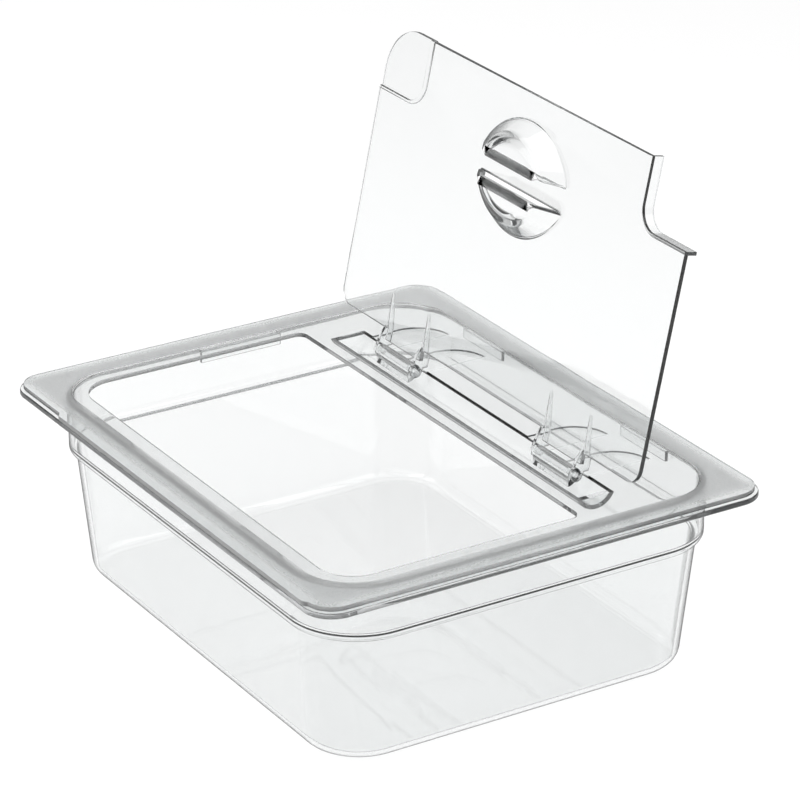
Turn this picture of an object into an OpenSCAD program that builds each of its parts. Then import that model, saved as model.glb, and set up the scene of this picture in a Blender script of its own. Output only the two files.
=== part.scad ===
// Half-size food pan with a flip-top lid: a clear moulded pan, a lid frame that drops on its rim,
// and a flap that swings on two hinge clips in the frame. Millimetres, +Z up, long side along Y.
// The origin is the middle of the pan's underside. The flap is drawn at its open stop.

/* [Pan] */
// Width of the rim, across the hinge line
pan_w = 265; // [240:1:300]
// Length of the rim, along the hinge line
pan_l = 325; // [300:1:360]
// Height from the underside to the top of the rim
pan_h = 101.6; // [90:0.1:200]
// Thickness of the rim plate
rim_t = 3; // [2:0.1:4]
// Corner radius of the rim plate
rim_corner_r = 16; // [10:1:24]
// Thickness of the walls and the floor
wall_t = 2.5; // [2:0.1:3]
// Inset of the upper wall from the rim's edge
neck_inset = 13; // [11:0.5:15]
// Depth of the stacking shoulder below the rim's top
shoulder_drop = 28.7; // [20:0.1:40]
// How far the wall steps in at the shoulder
shoulder_step = 3.7; // [2:0.1:6]
// How far the shoulder's ledge falls on its way in
shoulder_fall = 1.2; // [0.8:0.1:3]
// How far the lower wall leans in on its way down
wall_lean = 6.4; // [3:0.1:9]
// Corner radius of the upper wall
neck_corner_r = 38; // [30:1:45]
// Radius of the edge round the underside
foot_edge_r = 8; // [4:0.5:12]

/* [Lid frame] */
// Gap between the pan's rim and the lid resting on it
lid_gap = 0.2; // [0.1:0.1:0.5]
// Thickness of the frosted band
band_t = 2.5; // [2:0.1:3]
// Inset of the band's outer edge from the pan's rim
band_inset = 2; // [1:0.5:4]
// Inset of the band's inner edge
recess_inset = 17.4; // [17:0.1:19]
// Corner radius of the band's inner edge
recess_corner_r = 28; // [22:1:34]
// Depth of the deck below the band's top
deck_drop = 0.8; // [0.5:0.1:1.2]
// Thickness of the deck
deck_t = 2.5; // [2:0.1:3]
// Inset of the access opening's near, left and right edges
opening_inset = 26.2; // [25:0.1:30]
// Place along X of the opening's far edge
opening_far_x = 34; // [25:0.5:36]
// Corner radius of the opening at the near edge
opening_near_r = 20; // [12:1:26]
// Corner radius of the opening at the far edge
opening_far_r = 5; // [3:0.5:8]
// Length of the locating lugs on the long sides
long_lug = 39; // [20:1:60]
// Length of the locating lugs on the short sides
short_lug = 50; // [20:1:70]
// Height of the locating lugs below the deck
lug_h = 6; // [3:0.5:10]

/* [Hinge] */
// Place of the pivot along X
pivot_x = 59; // [58.5:0.1:59.5]
// Height of the pivot above the pan's rim
pivot_rise = 1.1; // [0.9:0.1:1.2]
// Angle of the open flap from its closed place
open_angle = 102; // [95:1:102]
// Radius of the hinge pins
pin_r = 1.6; // [1.4:0.1:1.8]
// Radial clearance of the pins in their blocks
pin_fit = 0.08; // [0.05:0.01:0.1]
// Radius of the knuckles round the pins
knuckle_r = 3.5; // [3.2:0.1:3.5]
// Thickness of each hinge ear
ear_t = 2.5; // [2:0.1:3]
// Distance of the outer ears from the middle of the hinge line
outer_ear_y = 95; // [90:1:100]
// Distance of the inner ears from the middle of the hinge line
inner_ear_y = 59; // [50:1:65]

/* [Flap] */
// Thickness of the flap
flap_t = 2.5; // [2:0.1:3]
// Length of the flap along the hinge line
flap_l = 285.7; // [280:0.1:287]
// Depth of the flap from its hinge edge to its free edge
flap_d = 160.5; // [158:0.1:161]
// Corner radius at the free edge
flap_free_r = 27; // [15:1:30]
// Corner radius at the hinge edge
flap_hinge_r = 9; // [4:1:12]
// Length of the serving notch along the hinge line
notch_l = 40; // [30:1:50]
// Depth of the serving notch
notch_d = 36.5; // [30:0.5:45]
// Radius of the notch's inner corner
notch_r = 12; // [6:1:15]
// Height of the lip round the notch, from the flap's underside
notch_lip_h = 7.5; // [4:0.5:9]
// Step of the blank corner pad above the flap
pad_step = 1.2; // [0.5:0.1:1.8]

/* [Finger pockets] */
// Length of each finger pocket along the hinge line
pocket_l = 80; // [60:1:90]
// Reach of each pocket away from the bar between them
pocket_reach = 25; // [18:1:30]
// Depth of the pockets below the flap
pocket_depth = 10; // [6:0.5:12]
// Width of the bar between the pockets
grip_w = 13; // [10:1:18]
// Distance of the middle of the bar from the hinge edge
grip_s = 116; // [110:1:120]

/* [Hidden] */
$fn = 96;
slice = 0.02;
cut_past = 1;
joint_overlap = 0.5;
rim_top = pan_h;
neck_bottom = pan_h - shoulder_drop;
lean_top = neck_bottom - shoulder_fall;
foot_lean = wall_lean / 2;
foot_turn = 18;
band_bottom = rim_top + lid_gap;
band_top = band_bottom + band_t;
deck_top = band_top - deck_drop;
deck_bottom = deck_top - deck_t;
band_corner_r = rim_corner_r - band_inset;
deck_clearance = 0.7;
deck_inset = neck_inset + wall_t + deck_clearance;
deck_corner_r = neck_corner_r - wall_t - deck_clearance;
opening_near_x = opening_inset - pan_w / 2;
opening_half_l = pan_l / 2 - opening_inset;
lug_t = 2;
long_lug_y = 76;
lip_low_y = -148.5;
lip_high_y = 109.5;
lip_end_r = 6;
trough_x = 53.9;
trough_rise = 4.4;
trough_r = 9.9;
trough_wall = 2;
trough_half_l = 119;
dee_depth = 1;
dee_start_x = 62.8;
dee_l = 20.5;
dee_offset = 5;
dee_w = 39;
pivot_z = rim_top + pivot_rise;
flap_rest_gap = 0.4;
flap_under = deck_top + flap_rest_gap - pivot_z;
hinge_reach = 11.9;
block_gap = 0.4;
pin_l = 4;
web_drop = 6;
fin_s = 21;
fin_n = 6;
cheek_s = 2;
cheek_n = 2.5;
heel_gap = 0.3;
heel_reach = 7.1;
heel_root = 4.6;
heel_rise = deck_top + heel_gap - pivot_z;
pocket_wall = 2;
pocket_slope_y = 14;
pocket_slope_s = 9;
hull_fn = 32;
lip_t = 2;

// Flat outline with round corners, centred on the origin.
module round_rect(w, l, r) {
    square([w - 2 * r, l], center = true);
    square([w, l - 2 * r], center = true);
    for (x = [-1, 1], y = [-1, 1])
        translate([x * (w / 2 - r), y * (l / 2 - r)])
            circle(r);
}

// Plate that follows the rim at an inset, from one height to another.
module rim_plate(inset, r, z_low, z_high) {
    translate([0, 0, z_low])
        linear_extrude(z_high - z_low)
            round_rect(pan_w - 2 * inset, pan_l - 2 * inset, r);
}

// Lower body of the pan: leaning walls, with a rounded edge round the underside.
module lower_body(grow, z_low) {
    foot_inset = neck_inset + shoulder_step + wall_lean + grow;
    foot_r = foot_edge_r - grow;
    corner = neck_corner_r - shoulder_step - grow;
    hull() {
        rim_plate(foot_inset - wall_lean, corner, lean_top + grow - slice, lean_top + grow, $fn = hull_fn);
        for (a = [0 : foot_turn : 90])
            translate([0, 0, z_low + foot_r * (1 - sin(a))])
                linear_extrude(slice)
                    round_rect(
                        pan_w - 2 * (foot_inset + foot_r * (1 - cos(a))),
                        pan_l - 2 * (foot_inset + foot_r * (1 - cos(a))),
                        corner - foot_lean - foot_r * (1 - cos(a)), $fn = hull_fn);
    }
}

// Sloping shoulder that joins the upper wall to the lower body.
module shoulder(grow) {
    hull() {
        rim_plate(neck_inset + grow, neck_corner_r - grow,
            neck_bottom + grow, neck_bottom + grow + slice, $fn = hull_fn);
        rim_plate(neck_inset + shoulder_step + grow, neck_corner_r - shoulder_step - grow,
            lean_top + grow - slice, lean_top + grow, $fn = hull_fn);
    }
}

// Solid inside one face of the wall: grow is 0 for the outer face and wall_t for the inner one.
module pan_form(grow, z_low, z_high) {
    lower_body(grow, z_low);
    shoulder(grow);
    rim_plate(neck_inset + grow, neck_corner_r - grow, neck_bottom + grow, z_high);
}

module pan() {
    color("whitesmoke", 0.5)
        difference() {
            union() {
                pan_form(0, 0, rim_top - joint_overlap);
                rim_plate(0, rim_corner_r, rim_top - rim_t, rim_top);
            }
            pan_form(wall_t, wall_t, rim_top + cut_past);
        }
}

// Access opening: wide corners at the near edge, tight ones beside the hinge.
module opening_outline() {
    near = opening_near_x;
    far = opening_far_x;
    half = opening_half_l;
    polygon([[near + opening_near_r, -half], [far - opening_far_r, -half], [far - opening_far_r, half],
        [near + opening_near_r, half]]);
    polygon([[near, opening_near_r - half], [far, opening_near_r - half], [far, half - opening_near_r],
        [near, half - opening_near_r]]);
    polygon([[far - opening_far_r, opening_far_r - half], [far, opening_far_r - half],
        [far, half - opening_far_r], [far - opening_far_r, half - opening_far_r]]);
    for (side = [-1, 1]) {
        translate([near + opening_near_r, side * (half - opening_near_r)])
            circle(opening_near_r);
        translate([far - opening_far_r, side * (half - opening_far_r)])
            circle(opening_far_r);
    }
}

// Straight round bar along Y.
module bar_y(x, z, r, y_low, y_high) {
    translate([x, y_high, z])
        rotate([90, 0, 0])
            cylinder(r = r, h = y_high - y_low);
}

// Hinge trough: the part of a round bar along Y that lies below a height.
module trough(r, half_l, top) {
    intersection() {
        bar_y(trough_x, rim_top + trough_rise, r, -half_l, half_l);
        translate([trough_x - r, -half_l, top - 2 * r])
            cube([2 * r, 2 * half_l, 2 * r]);
    }
}

// Shallow D-shaped recess in the deck behind one ear, with its flat side at the low-Y end.
module dee_recess(ear_y) {
    flat_y = ear_y - dee_offset;
    translate([0, 0, deck_top - dee_depth])
        linear_extrude(2 * dee_depth)
            intersection() {
                translate([dee_start_x, flat_y])
                    square([dee_w, dee_l]);
                translate([dee_start_x + dee_w - dee_l, flat_y])
                    union() {
                        circle(dee_l);
                        translate([-dee_w, 0])
                            square([dee_w, dee_l]);
                    }
            }
}

// Locating lugs that drop inside the pan's mouth.
module lugs() {
    lug_x = pan_w / 2 - deck_inset - lug_t;
    lug_y = pan_l / 2 - deck_inset - lug_t;
    for (side = [-1, 1]) {
        for (end = [-1, 1])
            translate([side * (lug_x + lug_t / 2) - lug_t / 2, end * long_lug_y - long_lug / 2,
                deck_bottom - lug_h])
                cube([lug_t, long_lug, lug_h + joint_overlap]);
        translate([-short_lug / 2, side * (lug_y + lug_t / 2) - lug_t / 2, deck_bottom - lug_h])
            cube([short_lug, lug_t, lug_h + joint_overlap]);
    }
}

// Hinge block between a pair of ears, with a bore for the pins of both.
module hinge_block(middle_y) {
    half = (outer_ear_y - inner_ear_y - ear_t) / 2 - block_gap;
    bar_y(pivot_x, pivot_z, knuckle_r, middle_y - half, middle_y + half);
    intersection() {
        translate([pivot_x - knuckle_r, middle_y - half, pivot_z - trough_r])
            cube([2 * knuckle_r, 2 * half, trough_r]);
        trough(trough_r + trough_wall, trough_half_l, pivot_z);
    }
}

// Finger lip: the band reaches out to the rim's edge along the near side.
module finger_lip() {
    reach = band_inset + rim_corner_r;
    translate([-pan_w / 2, lip_low_y, band_bottom])
        linear_extrude(band_t)
            union() {
                translate([lip_end_r, 0])
                    square([reach - lip_end_r, lip_high_y - lip_low_y]);
                translate([0, lip_end_r])
                    square([reach, lip_high_y - lip_low_y - 2 * lip_end_r]);
                for (y = [lip_end_r, lip_high_y - lip_low_y - lip_end_r])
                    translate([lip_end_r, y])
                        circle(lip_end_r);
            }
}

module lid_frame() {
    middle_y = (outer_ear_y + inner_ear_y) / 2;
    color("gainsboro", 0.6)
        difference() {
            union() {
                difference() {
                    union() {
                        rim_plate(band_inset, band_corner_r, band_bottom, band_top);
                        finger_lip();
                    }
                    rim_plate(recess_inset, recess_corner_r, band_bottom - cut_past, band_top + cut_past);
                }
                difference() {
                    union() {
                        rim_plate(deck_inset, deck_corner_r, deck_bottom, deck_top);
                        trough(trough_r + trough_wall, trough_half_l + trough_wall, deck_top);
                        lugs();
                    }
                    trough(trough_r, trough_half_l, deck_top + cut_past);
                    translate([0, 0, deck_bottom - cut_past])
                        linear_extrude(deck_t + 2 * cut_past)
                            opening_outline();
                }
                for (side = [-1, 1])
                    hinge_block(side * middle_y);
            }
            for (side = [-1, 1])
                bar_y(pivot_x, pivot_z, pin_r + pin_fit, side * middle_y - outer_ear_y / 2,
                    side * middle_y + outer_ear_y / 2);
            for (y = [-outer_ear_y, -inner_ear_y, inner_ear_y, outer_ear_y])
                dee_recess(y);
        }
}

// The flap is drawn closed round the pivot: X towards the free edge is negative,
// Y along the hinge line, Z up, with the underside at flap_under.
module flap_outline() {
    half = flap_l / 2;
    far = -hinge_reach - flap_d;
    near = -hinge_reach;
    polygon([[far + flap_free_r, -half], [near - flap_hinge_r, -half], [near - flap_hinge_r, half],
        [far + flap_free_r, half]]);
    polygon([[far, flap_free_r - half], [near - flap_hinge_r, flap_free_r - half],
        [near - flap_hinge_r, half - flap_free_r], [far, half - flap_free_r]]);
    polygon([[near - 2 * flap_hinge_r, flap_hinge_r - half], [near, flap_hinge_r - half],
        [near, half - flap_hinge_r], [near - 2 * flap_hinge_r, half - flap_hinge_r]]);
    for (side = [-1, 1]) {
        translate([far + flap_free_r, side * (half - flap_free_r)])
            circle(flap_free_r);
        translate([near - flap_hinge_r, side * (half - flap_hinge_r)])
            circle(flap_hinge_r);
    }
}

// Corner area of the notch or the pad: side is -1 for low Y and 1 for high Y.
module corner_area(side, grow) {
    far = -hinge_reach - flap_d;
    long = notch_l + grow;
    deep = notch_d + grow;
    r = notch_r + grow;
    translate([far - cut_past, side * flap_l / 2])
        keep_or_mirror(side)
            union() {
                translate([0, -long + r])
                    square([deep + cut_past, long]);
                translate([0, -long])
                    square([deep + cut_past - r, long + cut_past]);
                translate([deep + cut_past - r, -long + r])
                    circle(r);
            }
}

// Keeps a shape as drawn for the high-Y side, and mirrors it for the low-Y side.
module keep_or_mirror(side) {
    if (side > 0)
        children();
    else
        mirror([0, 1, 0])
            children();
}

// Raised lip along the edge of the notch or the pad.
module corner_lip(side, h) {
    translate([0, 0, flap_under])
        linear_extrude(h)
            intersection() {
                flap_outline();
                difference() {
                    corner_area(side, lip_t);
                    corner_area(side, 0);
                }
            }
}

// D-shaped slice of a finger pocket: flat towards the bar, round away from it.
module dee_slice(z, l, reach, start) {
    translate([start, 0, z])
        linear_extrude(slice)
            intersection() {
                translate([0, -l / 2])
                    square([reach, l]);
                translate([reach - (reach * reach + l * l / 4) / (2 * reach), 0])
                    circle((reach * reach + l * l / 4) / (2 * reach));
            }
}

// Finger pocket solid, shrunk by its wall for the inside.
module pocket_form(shrink, top) {
    l = pocket_l - 2 * shrink;
    reach = pocket_reach - 2 * shrink;
    hull() {
        dee_slice(top, l, reach, shrink, $fn = hull_fn * 2);
        dee_slice(shrink - pocket_depth, l - 2 * pocket_slope_y, reach - pocket_slope_s, shrink,
            $fn = hull_fn * 2);
    }
}

module place_pockets() {
    for (side = [-1, 1])
        translate([-hinge_reach - grip_s, 0, flap_under])
            rotate([0, 0, side > 0 ? 0 : 180])
                translate([grip_w / 2, 0, 0])
                    children();
}

// Place on the closed flap of a point that lies at x, z from the pivot once the flap is open.
function closed_x(x, z) = x * cos(open_angle) - z * sin(open_angle);
function closed_z(x, z) = x * sin(open_angle) + z * cos(open_angle);

// Side view of a hinge ear, drawn in X and Z round the pivot. Its heel meets the deck at the open stop.
module ear_outline() {
    under = flap_under;
    edge = -hinge_reach;
    polygon([
        [edge - fin_s, under + flap_t],
        [edge, under + fin_n],
        [closed_x(heel_reach, heel_rise), closed_z(heel_reach, heel_rise)],
        [closed_x(heel_root, heel_rise), closed_z(heel_root, heel_rise)],
        [0, knuckle_r],
        [0, -knuckle_r],
        [edge + cheek_s, under - cheek_n],
        [edge - cheek_s, under],
        [edge - fin_s, under + joint_overlap]
    ]);
    circle(knuckle_r);
}

module ear(y) {
    translate([0, y + ear_t / 2, 0])
        rotate([90, 0, 0])
            linear_extrude(ear_t)
                ear_outline();
}

module flap_closed() {
    difference() {
        union() {
            translate([0, 0, flap_under])
                linear_extrude(flap_t)
                    difference() {
                        flap_outline();
                        corner_area(-1, 0);
                        corner_area(1, 0);
                    }
            corner_lip(-1, notch_lip_h);
            corner_lip(1, flap_t + pad_step);
            translate([0, 0, flap_under + pad_step])
                linear_extrude(flap_t)
                    intersection() {
                        flap_outline();
                        corner_area(1, joint_overlap);
                    }
            place_pockets()
                pocket_form(0, joint_overlap);
        }
        place_pockets()
            pocket_form(pocket_wall, flap_t + cut_past);
    }
    for (side = [-1, 1])
        translate([-hinge_reach - joint_overlap, side * (outer_ear_y + inner_ear_y) / 2
            - (outer_ear_y - inner_ear_y) / 2, flap_under])
            cube([web_drop + joint_overlap, outer_ear_y - inner_ear_y, flap_t]);
    for (y = [-outer_ear_y, -inner_ear_y, inner_ear_y, outer_ear_y])
        ear(y);
    for (side = [-1, 1]) {
        bar_y(0, 0, pin_r, side * inner_ear_y - (side < 0 ? pin_l + ear_t : 0),
            side * inner_ear_y + (side > 0 ? pin_l + ear_t : 0));
        bar_y(0, 0, pin_r, side * outer_ear_y - (side > 0 ? pin_l + ear_t : 0),
            side * outer_ear_y + (side < 0 ? pin_l + ear_t : 0));
    }
}

module flap() {
    color("white", 0.5)
        translate([pivot_x, 0, pivot_z])
            rotate([0, open_angle, 0])
                flap_closed();
}

pan();
lid_frame();
flap();
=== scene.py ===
"""Half-size clear food pan with a lid frame and a flip-up flap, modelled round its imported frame.

Everything is in metres, in the frame of the CAD part: X across the hinge line, Y along it, Z up.
"""

import math

import bmesh
import bpy
from bpy.props import FloatProperty, FloatVectorProperty, IntProperty, PointerProperty
from bpy.types import Operator, Panel, PropertyGroup
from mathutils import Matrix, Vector


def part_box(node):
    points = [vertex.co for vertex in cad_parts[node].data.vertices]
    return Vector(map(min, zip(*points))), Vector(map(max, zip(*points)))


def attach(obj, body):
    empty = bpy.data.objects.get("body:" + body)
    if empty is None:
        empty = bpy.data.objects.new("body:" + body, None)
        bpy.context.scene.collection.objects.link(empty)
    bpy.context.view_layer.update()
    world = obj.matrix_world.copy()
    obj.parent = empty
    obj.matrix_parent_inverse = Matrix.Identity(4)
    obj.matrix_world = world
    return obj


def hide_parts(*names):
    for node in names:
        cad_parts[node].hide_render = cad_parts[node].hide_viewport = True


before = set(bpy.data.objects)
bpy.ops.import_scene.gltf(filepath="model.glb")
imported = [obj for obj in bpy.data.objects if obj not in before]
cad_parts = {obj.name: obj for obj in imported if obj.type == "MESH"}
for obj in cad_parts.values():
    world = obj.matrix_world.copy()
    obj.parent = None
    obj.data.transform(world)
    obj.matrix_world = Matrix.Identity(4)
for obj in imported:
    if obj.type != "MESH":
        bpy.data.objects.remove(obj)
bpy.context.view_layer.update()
PAN_LOW, PAN_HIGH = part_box("pan")

bl_info = {
    "name": "Flip-lid food pan",
    "version": (1, 0, 0),
    "blender": (4, 5, 0),
    "location": "View3D > Sidebar > Food pan",
    "description": "A half-size clear food pan with a lid frame and a flip-up flap",
    "category": "Add Mesh",
}

MM = 0.001
TEXTURED = "textured"
QUADRANTS = ((-1, -1), (1, -1), (1, 1), (-1, 1))
TOOL_PAST = 2 * MM  # how far a cutting tool reaches past the face it cuts
SUNK = 0.5 * MM  # how far an added part is sunk into the part it joins
SAME = 1e-6  # places nearer than this are the same
HAIR = 0.1 * MM  # a hair's breadth, for faces that are nearly level and corners that stop just short


def length(name, text, millimetres):
    """A size in the sidebar, shown in the scene's length unit."""
    return FloatProperty(name=name, description=text, default=millimetres * MM, unit="LENGTH", precision=5)


def amount(name, text, value):
    """A plain number in the sidebar."""
    return FloatProperty(name=name, description=text, default=value)


def place(name, text, metres):
    """A place in the scene, in the sidebar."""
    return FloatVectorProperty(
        name=name, description=text, default=metres, unit="LENGTH", subtype="TRANSLATION"
    )


def colour(name, text, hex_value):
    """A colour in the sidebar, given as an sRGB hex value."""
    return FloatVectorProperty(
        name=name, description=text, default=to_linear(hex_value), size=3, min=0.0, max=1.0, subtype="COLOR"
    )


def to_linear(hex_value):
    """Turns an sRGB hex colour such as "F4F6F6" into linear red, green and blue."""
    channels = [int(hex_value[i : i + 2], 16) / 255 for i in (0, 2, 4)]
    return tuple(c / 12.92 if c <= 0.04045 else ((c + 0.055) / 1.055) ** 2.4 for c in channels)


# ---------------------------------------------------------------- sizes and colours


class PanSizes(PropertyGroup):
    width: length("Rim width", "Rim across the hinge line", (PAN_HIGH.x - PAN_LOW.x) / MM)
    length: length("Rim length", "Rim along the hinge line", (PAN_HIGH.y - PAN_LOW.y) / MM)
    height: length("Height", "Underside to the top of the rim", PAN_HIGH.z / MM)
    rim_thickness: length("Rim thickness", "Thickness of the rim plate", 3.0)
    rim_radius: length("Rim corner", "Corner radius of the rim plate", 16.0)
    wall: length("Wall", "Thickness of the walls and the floor", 2.5)
    neck_inset: length("Neck inset", "Upper wall, in from the rim's edge", 13.0)
    neck_radius: length("Neck corner", "Corner radius of the upper wall", 38.0)
    shoulder_drop: length("Shoulder drop", "Stacking shoulder, below the rim's top", 28.7)
    shoulder_step: length("Shoulder step", "How far the wall steps in at the shoulder", 3.7)
    shoulder_fall: length("Shoulder fall", "How far the shoulder's ledge falls on its way in", 1.2)
    wall_lean: length("Wall lean", "How far the lower wall leans in", 6.4)
    foot_edge: length("Foot edge", "Radius of the edge round the underside", 8.0)
    shoulder_round: length("Shoulder round", "Radius of the shoulder's outer edge and inner root", 2.0)
    edge: length("Edge round", "Rounding of the other edges", 0.7)


class LidSizes(PropertyGroup):
    gap: length("Gap", "Gap between the pan's rim and the band resting on it", 0.2)
    band_inset: length("Band inset", "Band's outer edge, in from the rim's edge", 2.0)
    band_radius: length("Band corner", "Corner radius of the band's outer edge", 14.0)
    band_thickness: length("Band thickness", "Thickness of the frosted band", 2.5)
    frost_inset: length("Frost inset", "Where the frosting starts, in from the rim's edge", 5.4)
    frost_radius: length("Frost corner", "Corner radius where the frosting starts", 15.0)
    recess_inset: length("Recess inset", "Band's inner edge, in from the rim's edge", 17.4)
    recess_radius: length("Recess corner", "Corner radius of the band's inner edge", 28.0)
    deck_drop: length("Deck drop", "Deck's top, below the band's top", 0.8)
    deck_thickness: length("Deck thickness", "Thickness of the deck", 2.5)
    plug_inset: length("Plug inset", "Deck's outer edge inside the pan's mouth", 16.2)
    plug_radius: length("Plug corner", "Corner radius of the deck's outer edge", 34.8)
    opening_inset: length("Opening inset", "Opening's edges, in from the rim's edge", 26.2)
    opening_far: length("Opening far edge", "Place along X of the opening's hinge-side edge", 34.0)
    opening_near_radius: length("Opening near corners", "Corner radius away from the hinge", 20.0)
    opening_far_radius: length("Opening far corners", "Corner radius beside the hinge", 5.0)
    lug_height: length("Lug height", "Locating lugs, below the deck", 6.0)
    lug_thickness: length("Lug thickness", "Thickness of the locating lugs", 2.0)
    lug_length: length("Long lug", "Length of the lugs on the sides along the hinge line", 39.0)
    lug_place: length("Long lug place", "Long lugs' middles, from the middle of the side", 76.0)
    lug_short: length("Short lug", "Length of the lugs on the other two sides", 50.0)
    lug_edge: length("Lug round", "Rounding of the locating lugs' edges", 0.4)
    lip_low: length("Lip start", "Finger lip's low end along Y", -148.5)
    lip_high: length("Lip end", "Finger lip's high end along Y", 109.5)
    lip_short: length("Lip margin", "Gap between the finger lip and the frosting", 0.3)
    lip_corner: length("Lip corner", "Corner radius of the finger lip", 5.0)
    edge: length("Edge round", "Rounding of the edges", 0.45)


class HingeSizes(PropertyGroup):
    pivot_x: length("Pivot X", "Place of the pivot along X", 59.0)
    pivot_z: length("Pivot Z", "Height of the pivot", 102.7)
    open_angle: FloatProperty(
        name="Open angle", description="Turn from closed", default=math.radians(102), subtype="ANGLE"
    )
    trough_x: length("Trough X", "Place of the trough's axis along X", 53.9)
    trough_z: length("Trough Z", "Height of the trough's axis", 106.0)
    trough_radius: length("Trough radius", "Inside radius of the trough", 9.9)
    trough_wall: length("Trough wall", "Thickness of the trough's wall", 2.0)
    trough_half: length("Trough half length", "Half the trough's inside length", 119.0)
    knuckle: length("Knuckle radius", "Radius of the knuckles round the pins", 3.5)
    pin: length("Pin radius", "Radius of the hinge pins", 1.6)
    bore: length("Bore radius", "Radius of the bores that hold the pins", 1.68)
    inner_ear: length("Inner ears", "Inner ears, from the middle of the hinge line", 59.0)
    outer_ear: length("Outer ears", "Outer ears, from the middle of the hinge line", 95.0)
    ear: length("Ear thickness", "Thickness of an ear", 2.5)
    pin_length: length("Pin length", "How far a pin stands out of its ear", 4.0)
    side_gap: length("Side gap", "Play between a hinge block and the ears beside it", 0.4)
    foot_near: length("Block foot, opening side", "Pivot down to the block's low corner", 7.4)
    foot_far: length("Block foot, deck side", "Pivot down to the block's high corner", 3.5)
    dee_x: length("Recess start", "Place along X of the recesses' ends beside the trough", 62.81)
    dee_length: length("Recess length", "D-shaped recess behind an ear, across the hinge line", 39.0)
    dee_width: length("Recess width", "D-shaped recess along the hinge line", 20.5)
    dee_ahead: length("Recess ahead", "Recess's low-Y end, before the middle of its ear", 5.0)
    dee_depth: length("Recess depth", "Depth of the recess below the deck", 1.0)
    edge: length("Edge round", "Rounding of the blocks' and the ears' edges", 0.35)


class FlapSizes(PropertyGroup):
    thickness: length("Thickness", "Thickness of the flap", 2.5)
    under: length("Underside", "Closed flap's underside, above the pivot", 1.2)
    reach: length("Hinge reach", "Pivot to the flap's hinge edge", 11.9)
    depth: length("Depth", "Hinge edge to free edge", 160.5)
    half_length: length("Half length", "Half the flap's length along the hinge", 142.85)
    free_radius: length("Free corner", "Corner radius at the free edge", 27.0)
    hinge_radius: length("Hinge corner", "Corner radius at the hinge edge", 9.0)
    notch_length: length("Notch length", "Serving notch along the hinge line", 40.0)
    notch_depth: length("Notch depth", "Serving notch across the hinge line", 36.5)
    notch_radius: length("Notch corner", "Inner corner of the serving notch", 12.0)
    lip_height: length("Notch lip", "Lip round the notch, from the flap's underside", 7.5)
    lip_thickness: length("Lip thickness", "Thickness of the corner lips", 2.0)
    lip_edge: length("Notch lip round", "Rounding of the notch lip's edges", 0.3)
    pad_step: length("Pad step", "Blank corner pad, above the flap", 1.2)
    pocket_length: length("Pocket length", "Finger pocket along the hinge line", 80.0)
    pocket_reach: length("Pocket reach", "Finger pocket, away from the grip bar", 25.0)
    pocket_depth: length("Pocket depth", "Finger pocket, below the flap", 10.0)
    pocket_wall: length("Pocket wall", "Thickness of the finger pockets", 2.0)
    pocket_corner: length("Pocket corner", "Radius of the corners beside the grip bar", 4.0)
    pocket_flare: length("Pocket flare", "How far the pocket's mouth flares out", 0.8)
    pocket_narrows: length("Pocket narrows", "How much shorter its floor is, away from the bar", 9.0)
    pocket_shortens: length("Pocket shortens", "How much shorter its floor is, along the bar", 28.0)
    pocket_floor_in: length("Pocket floor inside", "Radius round the inside of the floor", 3.0)
    pocket_floor_out: length("Pocket floor outside", "Radius round the outside of the floor", 4.0)
    grip: length("Grip bar", "Width of the bar between the pockets", 13.0)
    grip_place: length("Grip place", "Hinge edge to the middle of the bar", 116.0)
    web: length("Web", "Length of the web between two ears, past the hinge edge", 6.0)
    root: length("Ear root", "Ear's root, either side of the hinge edge", 2.0)
    root_drop: length("Ear root drop", "Ear's root, below the flap's underside", 2.5)
    fin_reach: length("Fin reach", "Hinge edge to the tip of an ear's tapering fin", 21.0)
    fin_rise: length("Fin rise", "Fin's height at the hinge edge, above the flap's underside", 6.0)
    heel_from: length("Heel start", "Near end of the ear's heel on the deck, from the pivot", 4.6)
    heel_to: length("Heel end", "Far end of the ear's heel, from the pivot", 7.1)
    heel_height: length("Heel height", "Heel above the pivot when the flap is open", 1.1)
    edge: length("Edge round", "Rounding of the edges", 0.45)


class Finish(PropertyGroup):
    clear: colour("Clear tint", "Colour of the clear moulded polycarbonate", "F8F9F9")
    depth_tint: colour("Depth tint", "Colour that long paths through the plastic take", "B4B9BA")
    density: amount("Absorption", "How fast the depth tint builds up, per metre", 8.0)
    gloss: amount("Gloss roughness", "Roughness of the polished faces", 0.02)
    haze: length("Haze patches", "Size of the patches of handling haze", 12.0)
    wave: length("Flow waves", "Size of the slow waves left by the melt", 45.0)
    wave_height: length("Wave height", "Height of the flow waves", 0.05)
    frost_roughness: amount("Frost roughness", "Roughness of the textured band", 0.42)
    grain: length("Grain", "Size of the textured band's grain", 0.7)
    pit: length("Pit depth", "Depth of the grain's pits", 0.3)
    speck: colour("Specks", "Colour of the grain's pits in the textured band", "E2E4E4")
    speck_size: length("Speck size", "Size of the specks", 0.8)
    fade_from: length("Texture start", "Where the texture starts, in from the rim's edge", 4.5)
    fade_to: length("Texture full", "Where the texture is full, in from the rim's edge", 13.0)
    fade_corner: length("Texture corner", "How softly the fade turns the corners", 8.0)
    ior: amount("IOR", "Refraction of polycarbonate", 1.585)
    # Painted shade on glancing faces and edges, standing in for the dark studio surroundings that edges pick
    # up.
    painted_edge_shade: amount("Edge shade", "How dark glancing faces and edges go", 0.82)
    painted_edge_tone: colour("Edge tone", "Colour of glancing faces and edges", "3A3C3D")


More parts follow.
